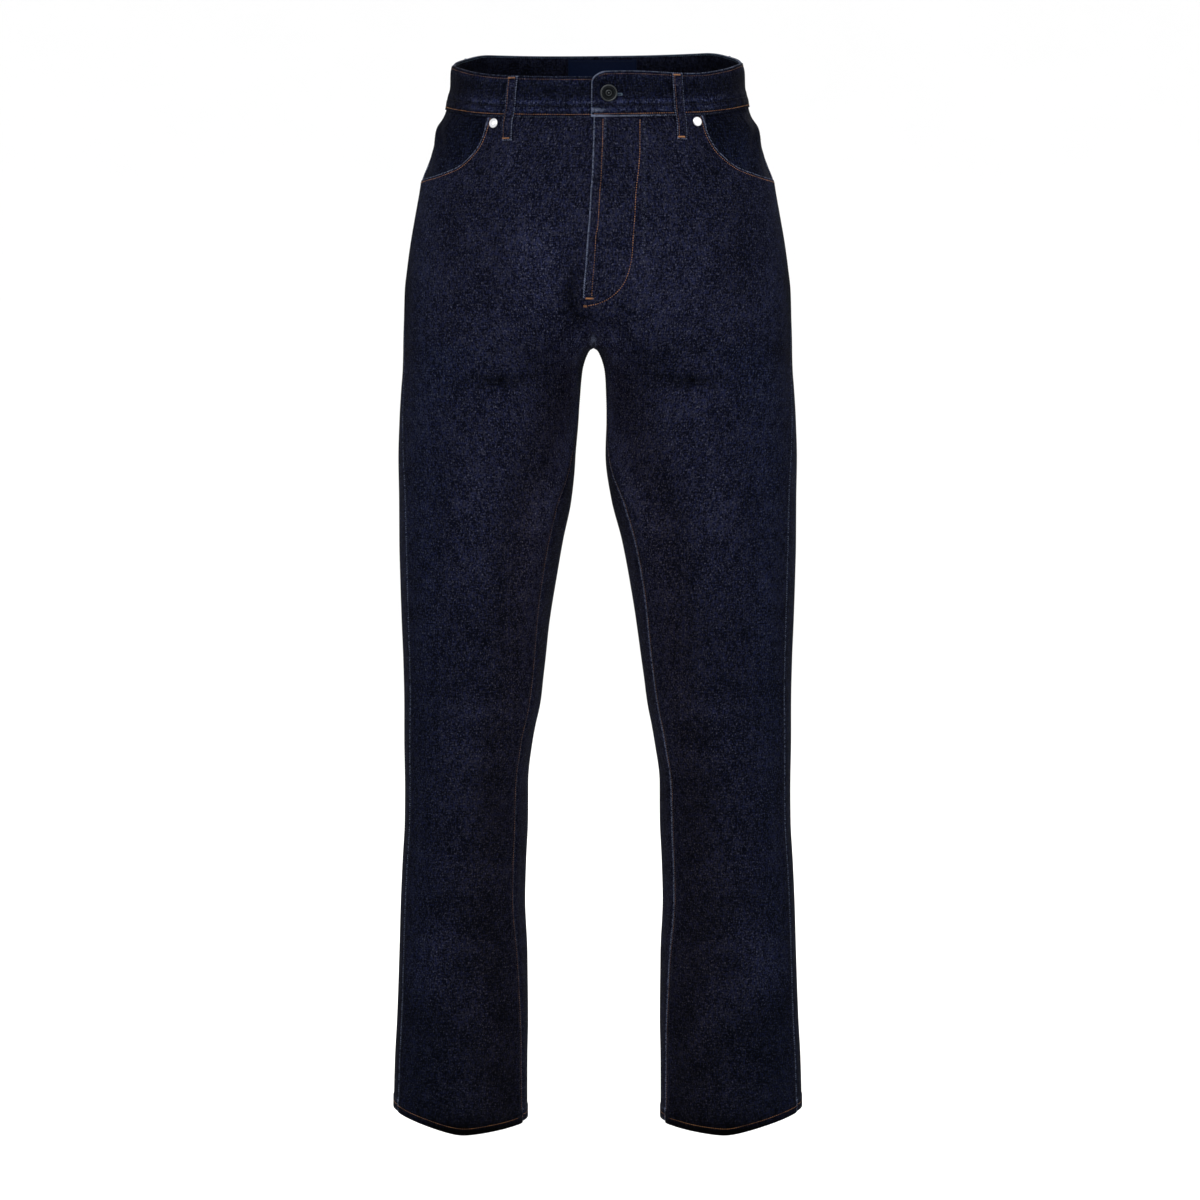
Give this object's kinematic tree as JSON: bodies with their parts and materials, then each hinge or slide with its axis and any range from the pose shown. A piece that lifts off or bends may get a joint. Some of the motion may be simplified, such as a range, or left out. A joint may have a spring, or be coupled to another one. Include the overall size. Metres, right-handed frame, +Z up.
{
  "type": "straight leg jeans",
  "caption": "Straight leg denim trousers, standing open as if worn, with a lapped button fly, scoop and patch pockets, yokes and belt loops.",
  "frame": {"origin": "middle of the waist opening, where the wearer holds the garment up", "axes": "+Z up, +X to the wearer's left, the front of the garment facing -Y"},
  "size_m": [0.4346, 0.2709, 1.1296],
  "materials": {
    "denim": "dark indigo twill, matt",
    "orange_thread": "matt orange topstitching thread",
    "navy_thread": "matt navy thread",
    "label": "plain navy woven cloth",
    "dark_metal": "dark antique metal",
    "nickel": "bright nickel"
  },
  "bodies": {
    "root": {"front_left": "denim", "front_right": "denim", "pocket_facing_left": "denim", "pocket_facing_right": "denim", "yoke_left": "denim", "yoke_right": "denim", "back_left": "denim", "back_right": "denim", "back_pocket_left": "denim", "back_pocket_right": "denim", "waistband": "denim", "belt_loop_front_left": "denim", "belt_loop_front_right": "denim", "belt_loop_side_left": "denim", "belt_loop_side_right": "denim", "belt_loop_centre_back": "denim", "waist_label": "label", "waist_button": "dark_metal", "rivet_left": "nickel", "rivet_right": "nickel"}
  },
  "joints": []
}
